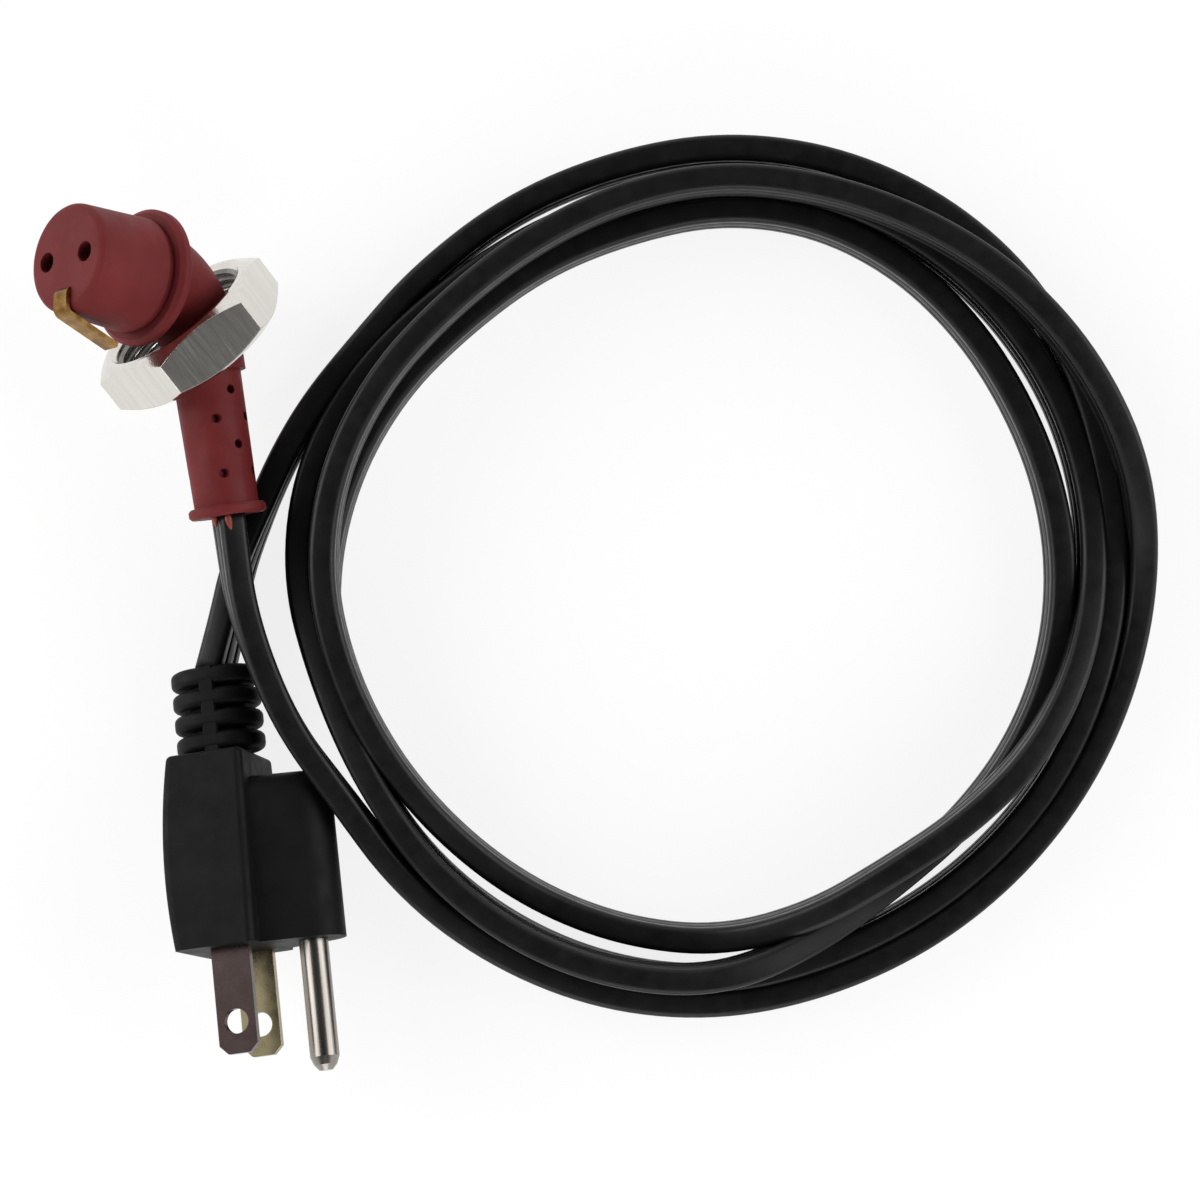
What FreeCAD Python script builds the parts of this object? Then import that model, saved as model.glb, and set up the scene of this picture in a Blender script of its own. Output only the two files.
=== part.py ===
import FreeCAD, Part
import math
import os

# A flat three-core lead that joins an engine block heater to a wall outlet.
# At one end is a moulded elbow connector with a loose hexagonal coupling nut,
# at the other a moulded grounded plug, and the lead between them is coiled.
# Lengths are in millimetres. +X is to the right, +Y away and +Z up from the table.

# Lead
CORD_WIDE = 9.8
CORD_THICK = 4.3
CORE_DIAMETER = 2.6
CORE_PITCH = 3.0

# Where the drawing's own zero lies under the foot of the connector
SHIFT_X = 70.89
SHIFT_Y = -37.595

# Nose of the connector, placed by the middle of its flange's back
NOSE_ROOT = (-72.1, 51.24, 22.82)
NOSE_AZIMUTH = 169.0
NOSE_RISE = 48.0
NOSE_ROLL = 15.0
NOSE_TIP_RADIUS = 8.8
NOSE_BASE_RADIUS = 9.3
NOSE_EDGE_ROUND = 1.3
NOSE_EDGE_STEPS = 4
NOSE_LENGTH = 14.4
GROOVE_WIDE = 1.1
GROOVE_DEEP = 0.5
FLANGE_RADIUS = 11.05
FLANGE_THICK = 2.5
FLANGE_ROUND = 0.7

# Contacts of the connector
SOCKET_SPACING = 9.2
SOCKET_BORE_RADIUS = 1.6
SOCKET_WALL = 0.5
SOCKET_LENGTH = 12.0
SOCKET_SETBACK = 1.5
CRIMP_LENGTH = 4.0
LEAD_STRAIGHT = 3.0

# Ground strap
STRAP_WIDE = 3.0
STRAP_THICK = 0.8
STRAP_OFFSET = 5.4
STRAP_DEPTH = 13.0
STRAP_OVER_FACE = 0.5
STRAP_CLEAR = 0.2
STRAP_SPRING = 12.5
STRAP_REACH = 9.6
STRAP_BENDS = (0.9, 1.2)

# Elbow and sleeve of the connector, placed by the sleeve's inner end
SLEEVE_ROOT = (-64.17, 37.97, 15.08)
SLEEVE_AZIMUTH = 98.7
SLEEVE_TIP_RADIUS = 5.25
SLEEVE_TOP_RADIUS = 5.55
SLEEVE_LENGTH = 24.6
END_FLANGE_RADIUS = 6.3
END_FLANGE_THICK = 1.7
END_FLANGE_ROUND = 0.4
SHOULDER_RADIUS = 8.5
KNEE_RADIUS = 6.7
HEEL_RADIUS = 6.4
HEEL_LENGTH = 1.2
BEND_REACH = 7.0
BEND_SECTIONS = 7
LEAD_SHARES = (0.4, 0.7, 1.0)

# Flexing holes in the sleeve, all along the direction that the mould opens
PULL_ANGLE = 46.5
PIN_HOLE_RADIUS = 0.75
PIN_HOLE_FLOOR = 3.4
PIN_HOLE_PITCH = 8.9
PIN_HOLE_ROW = 3.0
PIN_HOLE_FIRST = 6.7

# Coupling nut
NUT_CENTRE = (-66.7, 43.35, 15.08)
NUT_AZIMUTH = 126.3
NUT_RISE = 24.5
NUT_ROLL = 8.6
NUT_ACROSS_FLATS = 28.575
NUT_HEIGHT = 8.7
NUT_FACE_RADIUS = 13.55
NUT_CHAMFER_ANGLE = 30.0
NUT_BORE_RADIUS = 12.02
NUT_LIP_RADIUS = 9.9
NUT_LIP_THICK = 1.6
NUT_MOUTH = 0.8

# Coil of the lead, an uneven ring that is two layers high except at its right
COIL_OUTER_RADIUS = 72.9
COIL_OUTER_AT = (20.3, 4.0)
COIL_INNER_RADIUS = 58.0
COIL_INNER_AT = (15.5, 4.0)
COIL_HIGH = 20.2
COIL_LOW = 10.2
COIL_STEP_FROM = 50.0
COIL_STEP_TO = 74.0

# Plug
PLUG_FACE = (-57.9, -56.7, 16.22)
PLUG_AZIMUTH = -83.0
PLUG_RISE = 12.0
PLUG_ROLL = 9.5
PLUG_LENGTH = 31.8
PLUG_BLADE_SIDE = 8.0
PLUG_BULGE_SIDE = 9.0
PLUG_BULGE_AT = 14.0
PLUG_STEP_SIDE = 5.4
PLUG_HALF_HEIGHT = 11.3
PLUG_REAR_BLADE_SIDE = 7.4
PLUG_REAR_HALF_HEIGHT = 9.0
PLUG_EDGE_ROUND = 1.3
PLUG_REAR_ROUND = 0.9
LOBE_RADIUS = 5.4
LOBE_LENGTH = 27.4
LOBE_ROOT = 9.4
LOBE_REAR_ROUND = 4.0
BLADE_SPACING = 12.7
BLADE_WIDE = 6.35
BLADE_THICK = 1.5
BLADE_LENGTH = 17.0
BLADE_CHAMFER = 1.4
BLADE_HOLE_RADIUS = 1.98
BLADE_HOLE_AT = 11.9
BLADE_TAIL = 11.0
PIN_OFFSET = 11.9
PIN_RADIUS = 2.38
PIN_LENGTH = 21.0
PIN_TAIL = 12.0
PIN_TAIL_RADIUS = 1.9
PIN_ROOT_GAP = 0.1
PIN_TIP = ((0.5, 0.9), (1.3, 0.0))
PIN_TIP_LENGTH = 2.2
BRIDGE_DEPTH = 2.0
BRIDGE_THICK = 5.0
BRIDGE_MARGIN = 2.2
BRIDGE_TONGUE_MARGIN = 1.1
CORE_RUN_IN = 5.0
CORE_RUN_OUT = 8.0

# Strain relief of the plug
RELIEF_OFFSET = -0.4
RELIEF_LENGTH = 14.6
RELIEF_DISCS = 4
RELIEF_GAP = 0.6
RELIEF_WIDE = 14.7
RELIEF_HIGH = 11.0
RELIEF_EDGE = 1.0
RELIEF_WEB_WIDE = 9.0
RELIEF_WEB_HIGH = 7.4

# Route of the lead from the connector to the coil, chosen point by point,
# after a straight run out of the sleeve
BOOT_EXIT_RUN = 5.6
BOOT_ROUTE = [
    (-58.0, -0.4, 16.4),
    (-55.0, -9.6, 17.0),
    (-49.6, -20.8, 16.2),
    (-42.6, -30.4, 15.2),
]

# Route of the lead from the coil to the back of the plug's strain relief
PLUG_ROUTE = [
    (-47.6, 33.0, 5.0),
    (-52.0, 24.0, 5.0),
    (-56.8, 14.5, 5.0),
    (-60.9, 5.0, 5.2),
    (-62.8, -3.5, 5.9),
]
PLUG_SEAT = 0.6

# Share of a run that the bend at its end takes up
CORNER_SHARE = 0.45


def vector(point):
    return FreeCAD.Vector(*point)


def direction(azimuth, rise):
    flat = math.cos(math.radians(rise))
    return FreeCAD.Vector(
        flat * math.cos(math.radians(azimuth)),
        flat * math.sin(math.radians(azimuth)),
        math.sin(math.radians(rise)),
    )


def frame_at(origin, axis, side):
    """Placement with its Z along axis and its X as near to side as it goes."""
    turn = FreeCAD.Rotation(side, FreeCAD.Vector(), axis, "ZXY")
    return FreeCAD.Placement(origin, turn)


def rolled(origin, axis, roll):
    """Frame along axis, turned by roll from the level direction at its right."""
    level = FreeCAD.Vector(0, 0, 1).cross(axis).normalize()
    side = FreeCAD.Rotation(axis, roll).multVec(level)
    return frame_at(origin, axis, side)


def along(root, axis, distance):
    return vector(root) + axis * distance


NOSE_AXIS = direction(NOSE_AZIMUTH, NOSE_RISE)
SLEEVE_AXIS = direction(SLEEVE_AZIMUTH, 0)
NOSE = rolled(along(NOSE_ROOT, NOSE_AXIS, NOSE_LENGTH + FLANGE_THICK), NOSE_AXIS, NOSE_ROLL)
SLEEVE = rolled(along(SLEEVE_ROOT, SLEEVE_AXIS, -SLEEVE_LENGTH), SLEEVE_AXIS, 90 + PULL_ANGLE)
NUT = rolled(vector(NUT_CENTRE), direction(NUT_AZIMUTH, NUT_RISE), NUT_ROLL)
PLUG = rolled(vector(PLUG_FACE), direction(PLUG_AZIMUTH, PLUG_RISE), PLUG_ROLL)


def placed(shape, frame):
    moved = shape.copy()
    moved.Placement = frame.multiply(shape.Placement)
    return moved


def turned(profile):
    """Solid of revolution about Z from (radius, height) points."""
    points = [FreeCAD.Vector(radius, 0, height) for radius, height in profile]
    outline = Part.makePolygon(points + points[:1])
    return Part.Face(outline).revolve(FreeCAD.Vector(), FreeCAD.Vector(0, 0, 1), 360)


def cylinder(radius, height, base):
    return Part.makeCylinder(radius, height, vector(base))


def block(low, high):
    size = [top - bottom for bottom, top in zip(low, high)]
    return Part.makeBox(size[0], size[1], size[2], vector(low))


def stadium(wide, high):
    """Closed wire round the origin, wide along X and high along Y, with round ends."""
    radius = min(wide, high) / 2
    reach_x = wide / 2 - radius
    reach_y = high / 2 - radius
    corners = [(reach_x, reach_y), (-reach_x, reach_y), (-reach_x, -reach_y), (reach_x, -reach_y)]
    edges = []
    if reach_x > reach_y:
        edges.append(line((reach_x, radius), (-reach_x, radius)))
        edges.append(arc((-reach_x, radius), (-reach_x - radius, 0), (-reach_x, -radius)))
        edges.append(line((-reach_x, -radius), (reach_x, -radius)))
        edges.append(arc((reach_x, -radius), (reach_x + radius, 0), (reach_x, radius)))
    else:
        edges.append(line((-radius, reach_y), (-radius, -reach_y)))
        edges.append(arc((-radius, -reach_y), (0, -reach_y - radius), (radius, -reach_y)))
        edges.append(line((radius, -reach_y), (radius, reach_y)))
        edges.append(arc((radius, reach_y), (0, reach_y + radius), (-radius, reach_y)))
    return Part.Wire(edges)


def line(start, end):
    return Part.LineSegment(FreeCAD.Vector(*start), FreeCAD.Vector(*end)).toShape()


def arc(start, middle, end):
    points = [FreeCAD.Vector(*point) for point in (start, middle, end)]
    return Part.Arc(*points).toShape()


def rounded_route(points):
    """Wire of straight runs and tangent arcs, with the radius of each arc."""
    edges = []
    radii = []
    start = points[0]
    for before, corner, after in zip(points, points[1:], points[2:]):
        back = (before - corner).normalize()
        ahead = (after - corner).normalize()
        turn = math.pi - back.getAngle(ahead)
        reach = CORNER_SHARE * min(corner.distanceToPoint(before), corner.distanceToPoint(after))
        radius = reach / math.tan(turn / 2)
        inward = (back + ahead).normalize()
        depth = radius / math.cos(turn / 2) - radius
        first = corner + back * reach
        last = corner + ahead * reach
        edges.append(Part.LineSegment(start, first).toShape())
        edges.append(Part.Arc(first, corner + inward * depth, last).toShape())
        radii.append(radius)
        start = last
    edges.append(Part.LineSegment(start, points[-1]).toShape())
    return Part.Wire(edges), radii


def swept(section, frame, points):
    """Section, drawn across Z, carried along a rounded route from the frame's origin."""
    path, radii = rounded_route(points)
    profile = section.copy()
    profile.Placement = frame
    shell = Part.BRepOffsetAPI.MakePipeShell(path)
    shell.setBiNormalMode(FreeCAD.Vector(0, 0, 1))
    shell.add(profile)
    shell.build()
    shell.makeSolid()
    return shell.shape(), path.Length, radii


def round_lead(points, radius):
    path, radii = rounded_route(points)
    axis = points[1] - points[0]
    ring = Part.Wire(Part.makeCircle(radius, points[0], axis))
    return path.makePipeShell([ring], True, True)


# Connector

def nose_blank():
    straight = NOSE_LENGTH - GROOVE_WIDE
    profile = [(0, 0), (NOSE_TIP_RADIUS - NOSE_EDGE_ROUND, 0)]
    for step in range(1, NOSE_EDGE_STEPS + 1):
        angle = math.pi / 2 * (1 - step / NOSE_EDGE_STEPS)
        out = NOSE_TIP_RADIUS - NOSE_EDGE_ROUND + NOSE_EDGE_ROUND * math.cos(angle)
        profile.append((out, NOSE_EDGE_ROUND * math.sin(angle) - NOSE_EDGE_ROUND))
    profile += [
        (NOSE_BASE_RADIUS, -straight),
        (NOSE_BASE_RADIUS - GROOVE_DEEP, -straight),
        (NOSE_BASE_RADIUS - GROOVE_DEEP, -NOSE_LENGTH),
        (FLANGE_RADIUS - FLANGE_ROUND, -NOSE_LENGTH),
        (FLANGE_RADIUS, -NOSE_LENGTH - FLANGE_ROUND),
        (FLANGE_RADIUS, -NOSE_LENGTH - FLANGE_THICK + FLANGE_ROUND),
        (FLANGE_RADIUS - FLANGE_ROUND, -NOSE_LENGTH - FLANGE_THICK),
        (0, -NOSE_LENGTH - FLANGE_THICK),
    ]
    return placed(turned(profile), NOSE)


def sleeve_blank():
    heel_base = SLEEVE_LENGTH - HEEL_LENGTH
    profile = [
        (0, 0),
        (END_FLANGE_RADIUS - END_FLANGE_ROUND, 0),
        (END_FLANGE_RADIUS, END_FLANGE_ROUND),
        (END_FLANGE_RADIUS, END_FLANGE_THICK - END_FLANGE_ROUND),
        (END_FLANGE_RADIUS - END_FLANGE_ROUND, END_FLANGE_THICK),
        (SLEEVE_TIP_RADIUS, END_FLANGE_THICK),
        (SLEEVE_TOP_RADIUS, heel_base),
        (HEEL_RADIUS, heel_base),
        (HEEL_RADIUS, SLEEVE_LENGTH),
        (0, SLEEVE_LENGTH),
    ]
    return placed(turned(profile), SLEEVE)


def bend_point(share):
    """Place and heading on the elbow's centre line, from the nose to the sleeve."""
    first = vector(NOSE_ROOT)
    last = vector(SLEEVE_ROOT)
    second = first - NOSE_AXIS * BEND_REACH
    third = last + SLEEVE_AXIS * BEND_REACH
    rest = 1 - share
    place = first * rest**3 + second * (3 * rest**2 * share)
    place += third * (3 * rest * share**2) + last * share**3
    heading = (second - first) * rest**2 + (third - second) * (2 * rest * share)
    heading += (last - third) * share**2
    return place, heading.normalize()


def elbow_blank():
    across_bend = NOSE_AXIS.cross(SLEEVE_AXIS)
    rings = []
    for step in range(BEND_SECTIONS):
        share = step / (BEND_SECTIONS - 1)
        place, heading = bend_point(share)
        swell = (1 - share) ** 3
        radius = HEEL_RADIUS + (KNEE_RADIUS - HEEL_RADIUS) * (1 - share)
        radius += (SHOULDER_RADIUS - KNEE_RADIUS) * swell
        ring = Part.makeCircle(radius)
        ring.Placement = frame_at(place, heading, across_bend)
        rings.append(Part.Wire(ring))
    return Part.makeLoft(rings, True, False)


def pin_holes():
    """Blind holes on both sides of the sleeve, three rows a side."""
    holes = []
    for side in (0, 180):
        turn = FreeCAD.Placement(FreeCAD.Vector(), FreeCAD.Rotation(FreeCAD.Vector(0, 0, 1), side))
        for row in (-1, 0, 1):
            shift = PIN_HOLE_PITCH / 2 if row == 0 else 0
            for count in range(2):
                height = PIN_HOLE_FIRST + shift + count * PIN_HOLE_PITCH
                hole = Part.makeCylinder(
                    PIN_HOLE_RADIUS,
                    SLEEVE_TOP_RADIUS,
                    FreeCAD.Vector(PIN_HOLE_FLOOR, row * PIN_HOLE_ROW, height),
                    FreeCAD.Vector(1, 0, 0),
                )
                holes.append(placed(placed(hole, turn), SLEEVE))
    return holes


def socket_at(side):
    """Split-free contact tube with its crimp, on one side of the nose's centre."""
    outer = SOCKET_BORE_RADIUS + SOCKET_WALL
    front = -SOCKET_SETBACK
    back = front - SOCKET_LENGTH
    profile = [
        (SOCKET_BORE_RADIUS, front),
        (outer, front),
        (outer, back),
        (CORE_DIAMETER / 2 + SOCKET_WALL, back),
        (CORE_DIAMETER / 2 + SOCKET_WALL, back - CRIMP_LENGTH),
        (0, back - CRIMP_LENGTH),
        (0, back + SOCKET_WALL),
        (SOCKET_BORE_RADIUS, back + SOCKET_WALL),
    ]
    tube = turned(profile)
    tube.translate(FreeCAD.Vector(0, side * SOCKET_SPACING / 2, 0))
    return placed(tube, NOSE)


def ways_in():
    """The way in through the face to the bottom of each contact."""
    depth = SOCKET_SETBACK + SOCKET_LENGTH - SOCKET_WALL
    ways = []
    for side in (-1, 1):
        way = cylinder(SOCKET_BORE_RADIUS, 2 * depth, (0, side * SOCKET_SPACING / 2, -depth))
        ways.append(placed(way, NOSE))
    return ways


def strap():
    """Flat strip that leaves the face and folds back along the nose."""
    points = [
        FreeCAD.Vector(STRAP_OFFSET, 0, -STRAP_DEPTH),
        FreeCAD.Vector(STRAP_OFFSET, 0, STRAP_OVER_FACE),
        FreeCAD.Vector(NOSE_TIP_RADIUS + STRAP_CLEAR, 0, STRAP_OVER_FACE),
        FreeCAD.Vector(STRAP_SPRING, 0, -STRAP_REACH),
    ]
    path = tight_route(points, STRAP_BENDS)
    corners = [
        FreeCAD.Vector(STRAP_OFFSET + x * STRAP_THICK / 2, y * STRAP_WIDE / 2, -STRAP_DEPTH)
        for x, y in ((1, 1), (-1, 1), (-1, -1), (1, -1))
    ]
    section = Part.makePolygon(corners + corners[:1])
    return placed(path.makePipeShell([section], True, False), NOSE)


def tight_route(points, radii):
    """Wire of straight runs with the given radius at each corner."""
    edges = []
    start = points[0]
    for before, corner, after, radius in zip(points, points[1:], points[2:], radii):
        back = (before - corner).normalize()
        ahead = (after - corner).normalize()
        turn = math.pi - back.getAngle(ahead)
        reach = radius * math.tan(turn / 2)
        inward = (back + ahead).normalize()
        depth = radius / math.cos(turn / 2) - radius
        first = corner + back * reach
        last = corner + ahead * reach
        edges.append(Part.LineSegment(start, first).toShape())
        edges.append(Part.Arc(first, corner + inward * depth, last).toShape())
        start = last
    edges.append(Part.LineSegment(start, points[-1]).toShape())
    return Part.Wire(edges)


def connector_lead(place):
    """One core from its contact (place -1, 0 or 1) round the elbow to the lead's end."""
    sideways = NOSE.Rotation.multVec(FreeCAD.Vector(0, 1, 0))
    if place == 0:
        start = FreeCAD.Vector(STRAP_OFFSET, 0, -STRAP_DEPTH)
        ahead = FreeCAD.Vector(STRAP_OFFSET, 0, -NOSE_LENGTH - FLANGE_THICK)
    else:
        depth = SOCKET_SETBACK + SOCKET_LENGTH + CRIMP_LENGTH
        start = FreeCAD.Vector(0, place * SOCKET_SPACING / 2, -depth)
        ahead = start - FreeCAD.Vector(0, 0, LEAD_STRAIGHT)
    points = [NOSE.multVec(start), NOSE.multVec(ahead)]
    for share in LEAD_SHARES:
        centre, heading = bend_point(share)
        across = sideways * (1 - share) + FreeCAD.Vector(0, 0, 1) * share
        across -= heading * across.dot(heading)
        points.append(centre + across.normalize() * (place * CORE_PITCH))
    points.append(SLEEVE.Base + FreeCAD.Vector(0, 0, place * CORE_PITCH))
    return round_lead(points, CORE_DIAMETER / 2)


def connector():
    contacts = {
        "line_socket": socket_at(1),
        "neutral_socket": socket_at(-1),
        "ground_strap": strap(),
    }
    leads = {
        "connector_line_lead": connector_lead(1),
        "connector_ground_lead": connector_lead(0),
        "connector_neutral_lead": connector_lead(-1),
    }
    body = nose_blank().fuse(elbow_blank()).fuse(sleeve_blank())
    body = body.cut(ways_in() + pin_holes())
    body = body.cut(list(contacts.values()) + list(leads.values()))
    pieces = {"connector_body": body}
    pieces.update(contacts)
    pieces.update(leads)
    return pieces


def coupling_nut():
    corner_radius = NUT_ACROSS_FLATS / math.sqrt(3)
    corners = [
        FreeCAD.Vector(
            corner_radius * math.cos(math.radians(60 * step)),
            corner_radius * math.sin(math.radians(60 * step)),
            -NUT_HEIGHT / 2,
        )
        for step in range(6)
    ]
    prism = Part.Face(Part.makePolygon(corners + corners[:1])).extrude(FreeCAD.Vector(0, 0, NUT_HEIGHT))
    half = NUT_HEIGHT / 2
    outer = corner_radius + 1
    drop = (outer - NUT_FACE_RADIUS) * math.tan(math.radians(NUT_CHAMFER_ANGLE))
    envelope = turned([
        (0, -half),
        (NUT_FACE_RADIUS, -half),
        (outer, -half + drop),
        (outer, half - drop),
        (NUT_FACE_RADIUS, half),
        (0, half),
    ])
    bore = turned([
        (0, -half - 1),
        (NUT_LIP_RADIUS, -half - 1),
        (NUT_LIP_RADIUS, -half + NUT_LIP_THICK),
        (NUT_BORE_RADIUS, -half + NUT_LIP_THICK),
        (NUT_BORE_RADIUS, half - NUT_MOUTH),
        (NUT_BORE_RADIUS + NUT_MOUTH, half),
        (NUT_BORE_RADIUS + NUT_MOUTH, half + 1),
        (0, half + 1),
    ])
    return placed(prism.common(envelope).cut(bore), NUT)


# Lead

def coil():
    outer = cylinder(COIL_OUTER_RADIUS, COIL_HIGH, (*COIL_OUTER_AT, 0))
    inner = cylinder(COIL_INNER_RADIUS, COIL_HIGH, (*COIL_INNER_AT, 0))
    ring = outer.cut(inner)
    far = COIL_OUTER_AT[0] + COIL_OUTER_RADIUS + 1
    slope = [
        FreeCAD.Vector(COIL_STEP_FROM, -COIL_OUTER_RADIUS * 2, COIL_HIGH),
        FreeCAD.Vector(COIL_STEP_TO, -COIL_OUTER_RADIUS * 2, COIL_LOW),
        FreeCAD.Vector(far, -COIL_OUTER_RADIUS * 2, COIL_LOW),
        FreeCAD.Vector(far, -COIL_OUTER_RADIUS * 2, COIL_HIGH),
    ]
    wedge = Part.Face(Part.makePolygon(slope + slope[:1]))
    return ring.cut(wedge.extrude(FreeCAD.Vector(0, COIL_OUTER_RADIUS * 4, 0)))


def flat_lead(name, points, keep_out):
    """Upright flat lead along a route. It ends at the faces of the pieces at its ends."""
    axis = points[1] - points[0]
    up = FreeCAD.Vector(0, 0, 1)
    frame = frame_at(points[0], axis, up.cross(axis))
    section = stadium(CORD_THICK, CORD_WIDE)
    solid, length, radii = swept(section, frame, points)
    check = solid.Volume / (Part.Face(section).Area * length)
    print(name, "length", round(length, 1), "volume check", round(check, 4))
    print(name, "radii", [round(radius, 1) for radius in radii])
    return solid.cut(keep_out)


# Plug

def flat_part():
    """Flat part of the plug: one side swells, and its height narrows towards the lead."""
    swollen = Part.Wire([
        arc(
            (-PLUG_BLADE_SIDE, 0, 0),
            (-PLUG_BULGE_SIDE, 0, -PLUG_BULGE_AT),
            (-PLUG_REAR_BLADE_SIDE, 0, -PLUG_LENGTH),
        ),
        line((-PLUG_REAR_BLADE_SIDE, 0, -PLUG_LENGTH), (PLUG_STEP_SIDE, 0, -PLUG_LENGTH)),
        line((PLUG_STEP_SIDE, 0, -PLUG_LENGTH), (PLUG_STEP_SIDE, 0, 0)),
        line((PLUG_STEP_SIDE, 0, 0), (-PLUG_BLADE_SIDE, 0, 0)),
    ])
    tall = Part.Face(swollen).extrude(FreeCAD.Vector(0, 2 * PLUG_HALF_HEIGHT, 0))
    tall.translate(FreeCAD.Vector(0, -PLUG_HALF_HEIGHT, 0))
    wide = PLUG_BULGE_SIDE + PLUG_STEP_SIDE
    corners = [
        FreeCAD.Vector(-wide, PLUG_HALF_HEIGHT, 0),
        FreeCAD.Vector(-wide, -PLUG_HALF_HEIGHT, 0),
        FreeCAD.Vector(-wide, -PLUG_REAR_HALF_HEIGHT, -PLUG_LENGTH),
        FreeCAD.Vector(-wide, PLUG_REAR_HALF_HEIGHT, -PLUG_LENGTH),
    ]
    wedge = Part.Face(Part.makePolygon(corners + corners[:1])).extrude(FreeCAD.Vector(2 * wide, 0, 0))
    main = tall.common(wedge)
    long_edges = [edge for edge in main.Edges if edge.BoundBox.ZLength > PLUG_LENGTH / 2]
    main = main.makeFillet(PLUG_EDGE_ROUND, long_edges)
    return main.makeFillet(PLUG_REAR_ROUND, edges_at(main, -PLUG_LENGTH))


def plug_blank():
    """Flat part that holds the blades, with the round part over the ground pin."""
    main = flat_part()
    root = FreeCAD.Vector(0, LOBE_ROOT, 0)
    tangent = math.acos(LOBE_RADIUS / math.hypot(PIN_OFFSET, LOBE_ROOT))
    angle = math.atan2(LOBE_ROOT, -PIN_OFFSET) - tangent
    touch = FreeCAD.Vector(
        PIN_OFFSET + LOBE_RADIUS * math.cos(angle),
        LOBE_RADIUS * math.sin(angle),
        0,
    )
    mirror = FreeCAD.Vector(touch.x, -touch.y, 0)
    outline = Part.Wire([
        Part.LineSegment(root, touch).toShape(),
        Part.Arc(touch, FreeCAD.Vector(PIN_OFFSET + LOBE_RADIUS, 0, 0), mirror).toShape(),
        Part.LineSegment(mirror, -root).toShape(),
        Part.LineSegment(-root, root).toShape(),
    ])
    lobe = Part.Face(outline).extrude(FreeCAD.Vector(0, 0, -LOBE_LENGTH))
    lobe = lobe.makeFillet(LOBE_REAR_ROUND, edges_at(lobe, -LOBE_LENGTH, LOBE_REAR_ROUND))
    return main.fuse(lobe)


def edges_at(solid, height, clear_of=None):
    """Edges of a solid that lie at one height, and outside the band next to X = 0."""
    found = []
    for edge in solid.Edges:
        box = edge.BoundBox
        level = abs(box.ZMin - height) < 0.01 and abs(box.ZMax - height) < 0.01
        outside = clear_of is None or box.XMax > clear_of
        if level and outside:
            found.append(edge)
    return found


def relief_blank():
    """Ribbed strain relief: flat discs with round ends on a narrower web."""
    web = Part.Face(stadium(RELIEF_WEB_WIDE, RELIEF_WEB_HIGH))
    body = web.extrude(FreeCAD.Vector(0, 0, RELIEF_LENGTH + PLUG_REAR_ROUND))
    pitch = RELIEF_LENGTH / RELIEF_DISCS
    thick = pitch - RELIEF_GAP
    for count in range(RELIEF_DISCS):
        disc = Part.Face(stadium(RELIEF_WIDE, RELIEF_HIGH)).extrude(FreeCAD.Vector(0, 0, thick))
        rims = edges_at(disc, 0) + edges_at(disc, thick)
        disc = disc.makeChamfer(RELIEF_EDGE, rims)
        disc.translate(FreeCAD.Vector(0, 0, count * pitch))
        body = body.fuse(disc)
    body.translate(FreeCAD.Vector(RELIEF_OFFSET, 0, -PLUG_LENGTH - RELIEF_LENGTH))
    return body


def blade(side):
    """Flat blade with a hole near its tip and a tail inside the plug."""
    half = BLADE_WIDE / 2
    tip = BLADE_LENGTH
    outline = [
        (-half, -BLADE_TAIL),
        (half, -BLADE_TAIL),
        (half, tip - BLADE_CHAMFER),
        (half - BLADE_CHAMFER, tip),
        (-half + BLADE_CHAMFER, tip),
        (-half, tip - BLADE_CHAMFER),
    ]
    middle = side * BLADE_SPACING / 2
    points = [FreeCAD.Vector(x, middle - BLADE_THICK / 2, z) for x, z in outline]
    flat = Part.Face(Part.makePolygon(points + points[:1])).extrude(FreeCAD.Vector(0, BLADE_THICK, 0))
    hole = Part.makeCylinder(
        BLADE_HOLE_RADIUS,
        2 * BLADE_THICK,
        FreeCAD.Vector(0, middle - BLADE_THICK, BLADE_HOLE_AT),
        FreeCAD.Vector(0, 1, 0),
    )
    return flat.cut(hole)


def ground_pin():
    profile = [
        (0, -PIN_TAIL),
        (PIN_TAIL_RADIUS, -PIN_TAIL),
        (PIN_TAIL_RADIUS, PIN_ROOT_GAP),
        (PIN_RADIUS, PIN_ROOT_GAP),
        (PIN_RADIUS, PIN_LENGTH - PIN_TIP_LENGTH),
    ]
    profile += [(PIN_RADIUS - inward, PIN_LENGTH - back) for inward, back in PIN_TIP]
    profile.append((0, PIN_LENGTH))
    pin = turned(profile)
    pin.translate(FreeCAD.Vector(PIN_OFFSET, 0, 0))
    return pin


def bridge_blank():
    """Stiff plate inside the plug that holds the blades and the pin apart."""
    top = -BRIDGE_DEPTH
    low_x = -BLADE_WIDE / 2 - BRIDGE_MARGIN
    high_x = PIN_OFFSET + PIN_RADIUS + BRIDGE_TONGUE_MARGIN
    half = BLADE_SPACING / 2 + BRIDGE_MARGIN
    plate = block((low_x, -half, top - BRIDGE_THICK), (PLUG_STEP_SIDE, half, top))
    tongue = block(
        (PLUG_STEP_SIDE, -PIN_RADIUS - BRIDGE_TONGUE_MARGIN, top - BRIDGE_THICK),
        (high_x, PIN_RADIUS + BRIDGE_TONGUE_MARGIN, top),
    )
    return plate.fuse(tongue).removeSplitter()


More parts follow.
